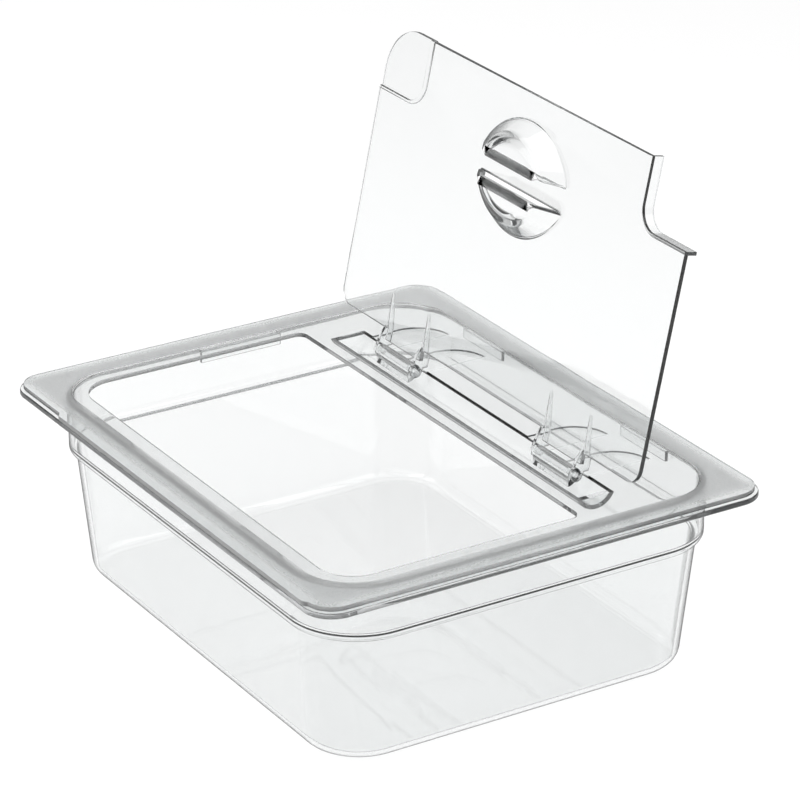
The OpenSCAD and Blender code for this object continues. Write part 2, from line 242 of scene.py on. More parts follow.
class Stage(PropertyGroup):
    floor: colour("Floor", "Colour of the plain floor", "FAFAFA")
    floor_gap: length("Floor gap", "Gap under the pan", 0.5)
    sky: amount("Surround", "Strength of the soft surround", 0.82)
    dark: amount("Low surround", "Surround near the horizon, which edges pick up", 0.72)
    dark_to: amount("Low surround top", "Sine of the height where it starts to brighten", 0.45)
    bright: amount("Overhead surround", "Surround overhead", 1.2)
    bright_from: amount("Overhead from", "Sine of the height where it is full", 0.72)
    key: amount("Key light", "Power of the softbox behind the hinge, in watts", 10.3)
    key_place: place("Key place", "Where the key light hangs", (-0.9, 0.6, 1.6))
    fill: amount("Fill light", "Power of the softbox on the other side, in watts", 6.5)
    fill_place: place("Fill place", "Where the fill light hangs", (1.2, -0.9, 1.4))
    box_size: length("Softbox", "Side of a softbox", 1400.0)
    camera_place: place("Camera place", "Where the camera stands", (-0.99472, -1.62430, 0.97884))
    camera_aim: place("Camera aim", "Point that the camera looks at", (-0.00924, -0.03544, 0.13810))
    lens: amount("Lens", "Focal length in millimetres", 181.44)


class FoodPanSettings(PropertyGroup):
    pan: PointerProperty(type=PanSizes)
    lid: PointerProperty(type=LidSizes)
    hinge: PointerProperty(type=HingeSizes)
    flap: PointerProperty(type=FlapSizes)
    finish: PointerProperty(type=Finish)
    stage: PointerProperty(type=Stage)
    corner_steps: IntProperty(name="Corner steps", description="Steps round each corner", default=20, min=6)


# ---------------------------------------------------------------- modelling tools


def settings():
    return bpy.context.scene.food_pan


def only_clear():
    """Leaves edit mode and deselects everything."""
    if bpy.context.mode != "OBJECT":
        bpy.ops.object.mode_set(mode="OBJECT")
    bpy.ops.object.select_all(action="DESELECT")


def only(piece):
    """Leaves edit mode, deselects everything and makes one piece active."""
    only_clear()
    piece.select_set(True)
    bpy.context.view_layer.objects.active = piece
    return piece


def edit(piece):
    """Opens a piece in edit mode with nothing selected, in vertex mode."""
    only(piece)
    bpy.ops.object.mode_set(mode="EDIT")
    bpy.ops.mesh.select_mode(type="VERT")
    bpy.ops.mesh.select_all(action="DESELECT")


def done(piece):
    """Closes edit mode and gives the piece back."""
    bpy.ops.object.mode_set(mode="OBJECT")
    return piece


def pick(piece, test):
    """Selects, in edit mode, just the vertices whose place passes the test."""
    form = bmesh.from_edit_mesh(piece.data)
    for vert in form.verts:
        vert.select_set(test(vert.co))
    form.select_flush(True)
    form.select_flush(False)
    bmesh.update_edit_mesh(piece.data)
    return any(vert.select for vert in form.verts)


def pick_numbered(piece, numbers):
    """Selects, in edit mode, just the vertices with these numbers."""
    form = bmesh.from_edit_mesh(piece.data)
    form.verts.ensure_lookup_table()
    for vert in form.verts:
        vert.select_set(False)
    for number in numbers:
        form.verts[number].select_set(True)
    form.select_flush(True)
    bmesh.update_edit_mesh(piece.data)


def pick_ring(piece, z):
    """Selects, in edit mode, just the edges that lie at a height."""
    bpy.ops.mesh.select_mode(type="EDGE")
    form = bmesh.from_edit_mesh(piece.data)
    for edge in form.edges:
        edge.select_set(False)
    for edge in form.edges:
        if all(abs(vert.co.z - z) < SAME for vert in edge.verts):
            edge.select_set(True)
    bmesh.update_edit_mesh(piece.data)


def named(name):
    """Names the piece that a primitive operator has just added."""
    piece = bpy.context.object
    piece.name = name
    piece.data.name = name
    return piece


def move(offset):
    bpy.ops.transform.translate(value=offset)


def scale(factors, centre):
    bpy.ops.transform.resize(value=factors, center_override=centre)


def plate(name, low, high, radii=None, steps=None):
    """A flat face between two corners in X and Y, at low's height, with its corners rounded in place.

    radii maps a quadrant such as (-1, 1) to that corner's radius.
    """
    only_clear()
    centre = ((low[0] + high[0]) / 2, (low[1] + high[1]) / 2, low[2])
    bpy.ops.mesh.primitive_plane_add(size=1, location=(0, 0, 0))
    piece = named(name)
    edit(piece)
    bpy.ops.mesh.select_all(action="SELECT")
    scale((high[0] - low[0], high[1] - low[1], 1), (0, 0, 0))
    move(centre)
    for (side_x, side_y), radius in (radii or {}).items():
        corner = Vector((low[0] if side_x < 0 else high[0], low[1] if side_y < 0 else high[1], low[2]))
        if radius > 0 and pick(piece, lambda co: (co - corner).length < SAME):
            bpy.ops.mesh.bevel(
                offset=radius, offset_type="OFFSET", segments=steps or settings().corner_steps,
                affect="VERTICES", profile=0.5, clamp_overlap=False,
            )
    return piece


def prism(name, low, high, radii=None, steps=None):
    """A plate extruded up to high's height."""
    piece = plate(name, low, high, radii, steps)
    bpy.ops.mesh.select_all(action="SELECT")
    bpy.ops.mesh.extrude_region_move(TRANSFORM_OT_translate={"value": (0, 0, high[2] - low[2])})
    return face_out(piece)


def face_out(piece, merge=1e-7):
    """Merges doubles and turns every face outwards, then closes edit mode."""
    bpy.ops.mesh.select_all(action="SELECT")
    bpy.ops.mesh.remove_doubles(threshold=merge)
    bpy.ops.mesh.select_all(action="SELECT")
    bpy.ops.mesh.normals_make_consistent(inside=False)
    return done(piece)


def rod(name, x, z, radius, y_low, y_high, sides):
    """A round bar along Y."""
    only_clear()
    bpy.ops.mesh.primitive_cylinder_add(
        vertices=sides, radius=radius, depth=y_high - y_low, location=(x, (y_low + y_high) / 2, z),
        rotation=(math.pi / 2, 0, 0),
    )
    piece = named(name)
    bpy.ops.object.transform_apply(location=True, rotation=True, scale=True)
    return piece


def traced(name, points, y_low, y_high):
    """A flat outline in X and Z, traced point by point from one vertex, filled and drawn out along Y."""
    only_clear()
    bpy.ops.mesh.primitive_plane_add(size=2 * MM, location=(0, 0, 0))
    piece = named(name)
    edit(piece)
    bpy.ops.mesh.select_all(action="SELECT")
    bpy.ops.mesh.merge(type="CENTER")
    bpy.ops.mesh.select_all(action="SELECT")
    move((points[0][0], y_low, points[0][1]))
    for before, after in zip(points, points[1:]):
        bpy.ops.mesh.extrude_region_move(
            TRANSFORM_OT_translate={"value": (after[0] - before[0], 0, after[1] - before[1])}
        )
    bpy.ops.mesh.select_all(action="SELECT")
    bpy.ops.mesh.edge_face_add()
    bpy.ops.mesh.select_all(action="SELECT")
    bpy.ops.mesh.extrude_region_move(TRANSFORM_OT_translate={"value": (0, y_high - y_low, 0)})
    return face_out(piece)


def rim_corners(inset, radius):
    """Centre and radius of each corner of an outline that follows the rim at an inset."""
    sizes = settings().pan
    across, along = sizes.width / 2 - inset - radius, sizes.length / 2 - inset - radius
    return {(sx, sy): (sx * across, sy * along, radius) for sx, sy in QUADRANTS}


def start_walk(name, corners, z, open_ring):
    """The first loop of a moulded section: a rounded face, or only its edges for an open ring."""
    low = (min(c[0] - c[2] for c in corners.values()), min(c[1] - c[2] for c in corners.values()), z)
    high = (max(c[0] + c[2] for c in corners.values()), max(c[1] + c[2] for c in corners.values()), z)
    piece = plate(name, low, high, {key: c[2] for key, c in corners.items()})
    if open_ring:
        bpy.ops.mesh.select_all(action="SELECT")
        bpy.ops.mesh.delete(type="ONLY_FACE")
    bpy.ops.mesh.select_all(action="SELECT")
    return {"piece": piece, "corners": corners, "z": z}


def step_to(walk, corners, z):
    """Extrudes the walk's last loop and shapes its four corners into the next loop of the section."""
    piece = walk["piece"]
    bpy.ops.mesh.extrude_region_move()
    form = bmesh.from_edit_mesh(piece.data)
    form.verts.index_update()
    fresh = [vert.index for vert in form.verts if vert.select]
    old = walk["corners"]
    middle_x = sum(corner[0] for corner in old.values()) / len(old)
    middle_y = sum(corner[1] for corner in old.values()) / len(old)
    for (sx, sy), (x, y, radius) in corners.items():
        old_x, old_y, old_radius = old[(sx, sy)]
        form = bmesh.from_edit_mesh(piece.data)
        form.verts.ensure_lookup_table()
        places = {number: form.verts[number].co for number in fresh}
        near = [n for n, co in places.items() if (co.x - middle_x) * sx > 0 and (co.y - middle_y) * sy > 0]
        pick_numbered(piece, near)
        factor = radius / old_radius
        scale((factor, factor, 1), (old_x, old_y, walk["z"]))
        move((x - old_x, y - old_y, 0))
    pick_numbered(piece, fresh)
    move((0, 0, z - walk["z"]))
    walk["corners"], walk["z"] = corners, z


def joined(name, pieces):
    """Joins separate tools into one piece."""
    only(pieces[0])
    for piece in pieces[1:]:
        piece.select_set(True)
    if len(pieces) > 1:
        bpy.ops.object.join()
    return named(name)


def carve(piece, tool, operation):
    """Unites a tool with the piece, or cuts it away, and removes the tool."""
    only(piece)
    step = piece.modifiers.new(operation.lower(), "BOOLEAN")
    step.operation = operation
    step.solver = "MANIFOLD"
    step.object = tool
    bpy.ops.object.modifier_apply(modifier=step.name)
    bpy.data.objects.remove(tool)
    return piece


def soften(piece, width, segments=2, angle=40):
    """Rounds every edge sharper than an angle, as a polished mould tool does."""
    only(piece)
    step = piece.modifiers.new("edge round", "BEVEL")
    step.width = width
    step.segments = segments
    step.limit_method = "ANGLE"
    step.angle_limit = math.radians(angle)
    step.use_clamp_overlap = True
    step.loop_slide = False
    bpy.ops.object.modifier_apply(modifier=step.name)
    return piece


def spread(piece, places, turns=None):
    """Puts a piece at the first place, and a copy with its own mesh at each of the others.

    turns gives each one's turn about Z, in radians.
    """
    group = [piece]
    for _ in places[1:]:
        only(piece)
        bpy.ops.object.duplicate(linked=False)
        group.append(named(piece.name))
    for twin, spot, turn in zip(group, places, turns or [0] * len(places)):
        only(twin)
        twin.location = spot
        twin.rotation_euler = (0, 0, turn)
        bpy.ops.object.transform_apply(location=True, rotation=True, scale=True)
    return group


def finish_piece(piece, body, node, material, smooth=32):
    """Shades a piece, gives it its material and hands it to its body in place of its CAD node."""
    if open_edges(piece):
        raise RuntimeError(f"{piece.name} has {open_edges(piece)} open edges")
    only(piece)
    bpy.ops.object.shade_smooth_by_angle(angle=math.radians(smooth))
    step = piece.modifiers.new("flat faces stay flat", "WEIGHTED_NORMAL")
    step.mode = "FACE_AREA"
    step.weight = 50
    step.keep_sharp = True
    bpy.ops.object.modifier_apply(modifier=step.name)
    piece.data.materials.clear()
    piece.data.materials.append(material)
    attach(piece, body)
    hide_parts(node)


def open_edges(piece):
    """How many edges don't have exactly two faces."""
    form = bmesh.new()
    form.from_mesh(piece.data)
    count = sum(1 for edge in form.edges if len(edge.link_faces) != 2)
    form.free()
    return count


# ---------------------------------------------------------------- materials


def add_node(tree, kind, values=None, links=None, **attributes):
    """Adds a shader node with its settings, socket values and incoming links."""
    node = tree.nodes.new(kind)
    for key, value in attributes.items():
        setattr(node, key, value)
    sockets = {socket.name: socket for socket in node.inputs if socket.enabled}
    for key, value in (values or {}).items():
        (node.inputs[key] if isinstance(key, int) else sockets[key]).default_value = value
    for key, source in (links or {}).items():
        tree.links.new(source, node.inputs[key] if isinstance(key, int) else sockets[key])
    return node


def new_material(name):
    """An empty node material and its node tree."""
    material = bpy.data.materials.new(name)
    material.use_nodes = True
    tree = material.node_tree
    tree.nodes.clear()
    return material, tree


def patchy(tree, spot, spacing, detail, low, high):
    """Noise with patches of a real spacing. The middle of the noise is spread over a range of values."""
    values = {"Scale": 1 / spacing, "Detail": detail, "Roughness": 0.6}
    noise = add_node(tree, "ShaderNodeTexNoise", values, {"Vector": spot})
    return add_node(
        tree, "ShaderNodeMapRange", {"From Min": 0.32, "From Max": 0.7, "To Min": low, "To Max": high},
        {"Value": noise.outputs[0]},
    ).outputs["Result"]


def maths(tree, operation, *values):
    """A maths node over numbers and sockets, and its result."""
    numbers = {i: value for i, value in enumerate(values) if isinstance(value, (int, float))}
    links = {i: value for i, value in enumerate(values) if i not in numbers}
    return add_node(tree, "ShaderNodeMath", numbers, links, operation=operation).outputs[0]


def texture_mask(tree, spot):
    """1 on the textured band, fading in from its bright outer edge, and 0 elsewhere."""
    pan, finish = settings().pan, settings().finish
    axes = add_node(tree, "ShaderNodeSeparateXYZ", None, {"Vector": spot})
    insets = [
        maths(tree, "SUBTRACT", size / 2, maths(tree, "ABSOLUTE", axes.outputs[axis]))
        for axis, size in (("X", pan.width), ("Y", pan.length))
    ]
    fade = add_node(
        tree, "ShaderNodeMapRange",
        {"From Min": finish.fade_from, "From Max": finish.fade_to, "To Min": 0.5, "To Max": 1.0},
        {"Value": maths(tree, "SMOOTH_MIN", *insets, finish.fade_corner)}, interpolation_type="SMOOTHSTEP",
    )
    textured = add_node(tree, "ShaderNodeAttribute", attribute_name=TEXTURED)
    return maths(tree, "MULTIPLY", textured.outputs["Fac"], fade.outputs["Result"])


def polycarbonate(name, textured):
    """Injection-moulded clear polycarbonate, polished: bright, glassy and very slightly wavy.

    The slow waves of the melt bend what is seen through it, and long paths inside it turn grey.
    Edges seen end-on read as dark lines, partly from that grey and partly from a painted shade
    on faces met at a glancing angle. Where it was moulded against a spark-textured tool
    face it is matt and fine grained, and what lies under it shows only as soft tone.
    """
    finish = settings().finish
    material, tree = new_material(name)
    spot = add_node(tree, "ShaderNodeTexCoord").outputs["Object"]
    # Patches of handling haze lift the roughness a little.
    rough = patchy(tree, spot, finish.haze, 3.0, 0.0, 2 * finish.gloss)
    # Flow waves, a few hundredths of a millimetre high, make reflections swim.
    waves = patchy(tree, spot, finish.wave, 1.0, 0.0, 1.0)
    normal = add_node(
        tree, "ShaderNodeBump", {"Strength": 0.35, "Distance": finish.wave_height}, {"Height": waves}
    ).outputs["Normal"]
    if textured:
        mask = texture_mask(tree, spot)
        # The real grain is about 0.1 mm. It is drawn larger so that it shows.
        matt = finish.frost_roughness
        grain = patchy(tree, spot, finish.grain, 2.0, matt - 0.12, matt + 0.12)
        rough = maths(tree, "MULTIPLY_ADD", grain, mask, rough)
        normal = add_node(
            tree, "ShaderNodeBump", {"Strength": 0.5, "Distance": finish.pit},
            {"Height": maths(tree, "MULTIPLY", grain, mask), "Normal": normal},
        ).outputs["Normal"]
    surface = add_node(
        tree, "ShaderNodeBsdfPrincipled",
        {"Base Color": (*finish.clear, 1), "IOR": finish.ior, "Transmission Weight": 1.0},
        {"Roughness": rough, "Normal": normal},
    )
    if textured:
        # Pits scatter a little light away, so the grain also shows as fine grey specks.
        specks = patchy(tree, spot, finish.speck_size, 1.0, 0.0, 1.0)
        tint = add_node(
            tree, "ShaderNodeMix", {"A": (*finish.clear, 1), "B": (*finish.speck, 1)},
            {"Factor": maths(tree, "MULTIPLY", specks, mask)}, data_type="RGBA",
        )
        tree.links.new(tint.outputs[2], surface.inputs["Base Color"])
    # Painted shade: faces met at a glancing angle go dark, which draws the edges as dark lines. It stands in
    # for the dark surroundings that such edges pick up in a studio, and it also greys flat faces seen from
    # low down.
    facing = add_node(tree, "ShaderNodeLayerWeight", {"Blend": 0.5}).outputs["Facing"]
    glancing = add_node(
        tree, "ShaderNodeMapRange",
        {"From Min": 0.65, "From Max": 0.9, "To Min": 0.0, "To Max": finish.painted_edge_shade}, {"Value": facing},
    ).outputs["Result"]
    painted_dark_edge = add_node(tree, "ShaderNodeBsdfDiffuse", {"Color": (*finish.painted_edge_tone, 1)})
    edged = add_node(
        tree, "ShaderNodeMixShader", None, {0: glancing, 1: surface.outputs[0], 2: painted_dark_edge.outputs[0]}
    )
    # Light reaches the table through the plastic, so what stands under it isn't left in the dark.
    path = add_node(tree, "ShaderNodeLightPath").outputs
    lighting = maths(tree, "MAXIMUM", path["Is Shadow Ray"], path["Is Diffuse Ray"])
    through = add_node(tree, "ShaderNodeBsdfTransparent", {"Color": (0.99, 0.99, 0.99, 1)})
    mixed = add_node(
        tree, "ShaderNodeMixShader", None, {0: lighting, 1: edged.outputs[0], 2: through.outputs[0]}
    )
    # Long paths inside take the depth tint, so thick places and edges go greyer than the plates.
    depth = add_node(
        tree, "ShaderNodeVolumeAbsorption", {"Color": (*finish.depth_tint, 1), "Density": finish.density}
    )
    add_node(
        tree, "ShaderNodeOutputMaterial", None, {"Surface": mixed.outputs[0], "Volume": depth.outputs[0]}
    )
    return material


def clear():
    """The plain plastic of the pan and the flap, made once."""
    name = "polycarbonate_moulded_clear"
    return bpy.data.materials.get(name) or polycarbonate(name, textured=False)


def clear_and_textured():
    """The lid frame's plastic: clear, with the textured band."""
    return polycarbonate("polycarbonate_clear_and_spark_textured", textured=True)


# ---------------------------------------------------------------- pieces


class FOODPAN_OT_pan(Operator):
    """Clear moulded pan: leaning walls, a stacking shoulder, a neck and a flat rim"""

    bl_idname = "foodpan.pan"
    bl_label = "Pan"

    def execute(self, context):
        s = settings().pan
        neck_bottom = s.height - s.shoulder_drop
        lean_top = neck_bottom - s.shoulder_fall
        foot_inset = s.neck_inset + s.shoulder_step + s.wall_lean
        foot_radius = s.neck_radius - s.shoulder_step - s.wall_lean / 2
        under_rim = s.height - s.rim_thickness
        inner = s.neck_inset + s.wall
        walk = start_walk("food_pan", rim_corners(foot_inset, foot_radius), 0, open_ring=False)
        for inset, radius, z in (
            (s.neck_inset + s.shoulder_step, s.neck_radius - s.shoulder_step, lean_top),
            (s.neck_inset, s.neck_radius, neck_bottom),
            (s.neck_inset, s.neck_radius, under_rim),
            (0, s.rim_radius, under_rim),
            (0, s.rim_radius, s.height),
            (inner, s.neck_radius - s.wall, s.height),
            (inner, s.neck_radius - s.wall, neck_bottom + s.wall),
            (inner + s.shoulder_step, s.neck_radius - s.shoulder_step - s.wall, lean_top + s.wall),
            (foot_inset + s.wall, foot_radius - s.wall, s.wall),
        ):
            step_to(walk, rim_corners(inset, radius), z)
        pan = face_out(walk["piece"])
        for z, radius in (
            (0, s.foot_edge), (s.wall, s.foot_edge - s.wall),
            (neck_bottom, s.shoulder_round), (neck_bottom + s.wall, s.shoulder_round),
        ):
            edit(pan)
            pick_ring(pan, z)
            bpy.ops.mesh.bevel(offset=radius, segments=7, profile=0.5, affect="EDGES", clamp_overlap=True)
            done(pan)
        soften(pan, s.edge, segments=3, angle=26)
        finish_piece(pan, "pan", "pan", clear(), smooth=40)
        return {"FINISHED"}


def opening_corners():
    """Corner centres and radii of the access opening: wide at the near edge, tight beside the hinge."""
    pan, lid = settings().pan, settings().lid
    near, far = lid.opening_inset - pan.width / 2, lid.opening_far
    half = pan.length / 2 - lid.opening_inset
    corners = {}
    for sx, sy in QUADRANTS:
        radius = lid.opening_near_radius if sx < 0 else lid.opening_far_radius
        corners[(sx, sy)] = (near + radius if sx < 0 else far - radius, sy * (half - radius), radius)
    return corners


def ear_places():
    """Places of the four hinge ears along Y."""
    hinge = settings().hinge
    return (-hinge.outer_ear, -hinge.inner_ear, hinge.inner_ear, hinge.outer_ear)


class FOODPAN_OT_lid_frame(Operator):
    """Lid frame: frosted band, deck with the access opening, hinge trough, hinge blocks and locating lugs"""

    bl_idname = "foodpan.lid_frame"
    bl_label = "Lid frame"

    def execute(self, context):
        pan, s, hinge = settings().pan, settings().lid, settings().hinge
        band_bottom = pan.height + s.gap
        band_top = band_bottom + s.band_thickness
        deck_top = band_top - s.deck_drop
        deck_bottom = deck_top - s.deck_thickness
        outer = rim_corners(s.band_inset, s.band_radius)
        plug = rim_corners(s.plug_inset, s.plug_radius)
        walk = start_walk("lid_ring", outer, band_bottom, open_ring=True)
        for corners, z in (
            (outer, band_top),
            (rim_corners(s.frost_inset, s.frost_radius), band_top),
            (rim_corners(s.recess_inset, s.recess_radius), band_top),
            (rim_corners(s.recess_inset, s.recess_radius), deck_top),
            (opening_corners(), deck_top),
            (opening_corners(), deck_bottom),
            (plug, deck_bottom),
            (plug, band_bottom),
            (outer, band_bottom),
        ):
            step_to(walk, corners, z)
        lid = face_out(walk["piece"], merge=SAME)
        soften(lid, s.edge)

        lip = prism(
            "finger_lip", (-pan.width / 2, s.lip_low, band_bottom),
            (-pan.width / 2 + s.frost_inset - s.lip_short, s.lip_high, band_top),
            {(-1, -1): s.lip_corner, (-1, 1): s.lip_corner}, steps=8,
        )
        soften(lip, s.edge)
        carve(lid, lip, "UNION")

        half = hinge.trough_half
        x, z, radius, wall = hinge.trough_x, hinge.trough_z, hinge.trough_radius, hinge.trough_wall
        gutter = rod("trough_outside", x, z, radius + wall, -half - wall, half + wall, sides=96)
        edit(gutter)
        bpy.ops.mesh.select_all(action="SELECT")
        bpy.ops.mesh.bisect(plane_co=(0, 0, deck_top), plane_no=(0, 0, 1), use_fill=True, clear_outer=True)
        face_out(gutter)
        lug_x = pan.width / 2 - s.plug_inset - s.lug_thickness / 2
        lug_y = pan.length / 2 - s.plug_inset - s.lug_thickness / 2
        sides = [(side_x * lug_x, side_y * s.lug_place, 0) for side_x, side_y in QUADRANTS]
        ends = [(0, -lug_y, 0), (0, lug_y, 0)]
        lugs = spread(self.lug(s.lug_thickness, s.lug_length, deck_bottom), sides)
        lugs += spread(self.lug(s.lug_short, s.lug_thickness, deck_bottom), ends)
        carve(lid, joined("deck_adds", [gutter] + lugs), "UNION")

        inside = rod("trough_inside", x, z, radius, -half, half, sides=96)
        carve(lid, inside, "DIFFERENCE")

        middle = (hinge.inner_ear + hinge.outer_ear) / 2
        block_half = (hinge.outer_ear - hinge.inner_ear - hinge.ear) / 2 - hinge.side_gap
        block = soften(traced("hinge_block", self.block_outline(), -block_half, block_half), hinge.edge)
        bore_half = block_half + TOOL_PAST
        bore = rod("bore", hinge.pivot_x, hinge.pivot_z, hinge.bore, -bore_half, bore_half, sides=32)
        hinges = [(0, -middle, 0), (0, middle, 0)]
        blocks, bores = spread(block, hinges), spread(bore, hinges)
        dees = spread(self.dee(deck_top), [(0, y, 0) for y in ear_places()])
        carve(lid, joined("hinge_blocks", blocks), "UNION")
        carve(lid, joined("bores", bores), "DIFFERENCE")
        carve(lid, joined("dees", dees), "DIFFERENCE")

        textured = lid.data.attributes.new(TEXTURED, "FLOAT", "FACE")
        start = s.frost_inset - SUNK
        for face, value in zip(lid.data.polygons, textured.data):
            on_band = face.normal.z > 0.9 and abs(face.center.z - band_top) < HAIR
            value.value = 1.0 if on_band and self.rim_inset(face.center) > start else 0.0
        finish_piece(lid, "lid", "lid_frame", clear_and_textured())
        return {"FINISHED"}

    @staticmethod
    def block_outline():
        """Side view of a hinge block: a round knuckle on a foot that slants down into the trough's wall."""
        hinge = settings().hinge
        k, x, z = hinge.knuckle, hinge.pivot_x, hinge.pivot_z
        turns = [math.radians(turn) for turn in range(0, 181, 9)]
        arc = [(x + k * math.cos(turn), z + k * math.sin(turn)) for turn in turns]
        return arc + [(x - k, z - hinge.foot_near), (x + k, z - hinge.foot_far)]

    @staticmethod
    def lug(across, along, deck_bottom):
        """Locating lug under the middle of the deck, sunk a little into it."""
        low = (-across / 2, -along / 2, deck_bottom - settings().lid.lug_height)
        high = (across / 2, along / 2, deck_bottom + SUNK)
        return soften(prism("lug", low, high), settings().lid.lug_edge)

    @staticmethod
    def rim_inset(spot):
        """How far in from the rim's straight edges a place is."""
        pan = settings().pan
        return min(pan.width / 2 - abs(spot.x), pan.length / 2 - abs(spot.y))

    @staticmethod
    def dee(deck_top):
        """Tool for a shallow D-shaped recess behind an ear at Y 0, flat at its low-Y end."""
        hinge = settings().hinge
        low = (hinge.dee_x, -hinge.dee_ahead, deck_top - hinge.dee_depth)
        high = (hinge.dee_x + hinge.dee_length, hinge.dee_width - hinge.dee_ahead, deck_top + TOOL_PAST)
        return prism("dee", low, high, {(1, 1): hinge.dee_width - HAIR})


class FOODPAN_OT_flap(Operator):
    """Flap: plate with a serving notch, pad, finger pockets, ears and pins, drawn closed and swung open"""

    bl_idname = "foodpan.flap"
    bl_label = "Flap"

    def execute(self, context):
        s, hinge = settings().flap, settings().hinge
        near, far = -s.reach, -s.reach - s.depth
        half = s.half_length
        top = s.under + s.thickness
        flap = prism(
            "flip_flap", (far, -half, s.under), (near, half, top),
            {(sx, sy): s.free_radius if sx < 0 else s.hinge_radius for sx, sy in QUADRANTS},
        )
        low = s.under - TOOL_PAST
        inwards = zip(ear_places(), (1, -1, 1, -1))
        cuts = [self.corner(side, 0, low, top + TOOL_PAST, past=TOOL_PAST) for side in (-1, 1)]
        carve(flap, joined("corner_cuts", cuts), "DIFFERENCE")
        soften(flap, s.edge, segments=3)

        lip = self.corner(-1, s.lip_thickness, s.under, s.under + s.lip_height)
        inside = self.corner(-1, 0, low, s.under + s.lip_height + TOOL_PAST, past=TOOL_PAST)
        soften(carve(lip, inside, "DIFFERENCE"), s.lip_edge)
        pad = self.corner(1, s.lip_thickness, s.under, top + s.pad_step, outer=s.free_radius)
        under_pad = self.corner(1, 0, low, s.under + s.pad_step, past=TOOL_PAST)
        soften(carve(pad, under_pad, "DIFFERENCE"), s.edge, segments=3)

        bar = -s.reach - s.grip_place
        bowls = [(bar - s.grip / 2, 0, 0), (bar + s.grip / 2, 0, 0)]
        pockets = spread(self.pocket(0), bowls, turns=[math.pi, 0])
        hollows = spread(self.pocket(s.pocket_wall), bowls, turns=[math.pi, 0])
        middle = (hinge.inner_ear + hinge.outer_ear) / 2
        web_half = (hinge.outer_ear - hinge.inner_ear) / 2
        web = prism("web", (near - SUNK, -web_half, s.under), (near + s.web, web_half, top))
        webs = spread(web, [(0, -middle, 0), (0, middle, 0)])
        ears = spread(self.ear(), [(0, y, 0) for y in ear_places()])
        pin_half = (hinge.ear / 2 + hinge.pin_length) / 2
        pin = rod("pin", 0, 0, hinge.pin, -pin_half, pin_half, sides=32)
        pins = spread(pin, [(0, y + inward * pin_half, 0) for y, inward in inwards])
        for tools in ([lip], [pad], pockets, webs, ears, pins):
            carve(flap, joined("flap_adds", tools), "UNION")
        carve(flap, joined("pocket_cuts", hollows), "DIFFERENCE")

        only(flap)
        flap.rotation_euler = (0, hinge.open_angle, 0)
        flap.location = (hinge.pivot_x, 0, hinge.pivot_z)
        bpy.ops.object.transform_apply(location=True, rotation=True, scale=True)
        finish_piece(flap, "flap", "flap", clear())
        return {"FINISHED"}

    @staticmethod
    def corner(side, grow, z_low, z_high, past=0.0, outer=0.0):
        """Block over a free corner of the flap, with a round inner corner.

        grow widens it inwards, past takes it beyond the flap's edges, and outer rounds its outer corner.
        """
        s = settings().flap
        far = -s.reach - s.depth
        y = sorted((side * (s.half_length + past), side * (s.half_length - s.notch_length - grow)))
        radii = {(1, -side): s.notch_radius + grow}
        if outer:
            radii[(-1, side)] = outer
        return prism("corner", (far - past, y[0], z_low), (far + s.notch_depth + grow, y[1], z_high), radii)

    @staticmethod
    def pocket(wall):
        """Half-round bowl of a finger pocket, flat at X 0. With a wall it is the flared inside."""
        s = settings().flap
        long = s.pocket_length - 2 * wall
        reach = s.pocket_reach - 2 * wall
        radius = (reach * reach + long * long / 4) / (2 * reach)
        surface = s.under + s.thickness
        top = surface + 1 * MM if wall else s.under + SUNK
        bottom = s.under - s.pocket_depth + wall
        floor_radius = s.pocket_floor_in if wall else s.pocket_floor_out
        only_clear()
        bpy.ops.mesh.primitive_circle_add(
            vertices=128, radius=radius, fill_type="NGON", location=(reach - radius, 0, top)
        )
        bowl = named("pocket")
        bpy.ops.object.transform_apply(location=True, rotation=True, scale=True)
        edit(bowl)
        bpy.ops.mesh.select_all(action="SELECT")
        bpy.ops.mesh.bisect(plane_co=(0, 0, 0), plane_no=(1, 0, 0), use_fill=True, clear_inner=True)
        pick(bowl, lambda co: abs(co.x) < SAME and abs(co.y) > 0.3 * long)
        bpy.ops.mesh.bevel(offset=s.pocket_corner, segments=6, affect="VERTICES", profile=0.5)
        bpy.ops.mesh.select_all(action="SELECT")
        if wall:
            flare = s.pocket_flare
            was_x, was_y = 1 + 2 * flare / reach, 1 + 2 * flare / long
            scale((was_x, was_y, 1), (reach / 2, 0, top))
            # Each row gives how much of the flare is left and how far down the flare it is.
            for left, down in ((1.0, 0.0), (0.62, 0.2), (0.29, 0.5), (0.0, 1.0)):
                grow_x, grow_y = 1 + 2 * left * flare / reach, 1 + 2 * left * flare / long
                fall = surface - down * flare
                bpy.ops.mesh.extrude_region_move(TRANSFORM_OT_translate={"value": (0, 0, fall - top)})
                scale((grow_x / was_x, grow_y / was_y, 1), (reach / 2, 0, fall))
                was_x, was_y, top = grow_x, grow_y, fall
        bpy.ops.mesh.extrude_region_move(TRANSFORM_OT_translate={"value": (0, 0, bottom - top)})
        scale((1 - s.pocket_narrows / reach, 1 - s.pocket_shortens / long, 1), (0, 0, bottom))
        edit(face_out(bowl))
        pick_ring(bowl, bottom)
        bpy.ops.mesh.bevel(offset=floor_radius, segments=5, profile=0.5, affect="EDGES")
        return done(bowl)

    @staticmethod
    def ear():
        """Hinge ear at Y 0: a tall tapering fin on the flap and a heel that meets the deck."""
        s, hinge = settings().flap, settings().hinge
        edge = -s.reach
        angle = hinge.open_angle
        k = hinge.knuckle
        turns = [math.radians(turn) for turn in range(0, 181, 12)]

        def closed(x, z):
            """A place given for the open flap, turned back to the closed one."""
            return (x * math.cos(angle) - z * math.sin(angle), x * math.sin(angle) + z * math.cos(angle))

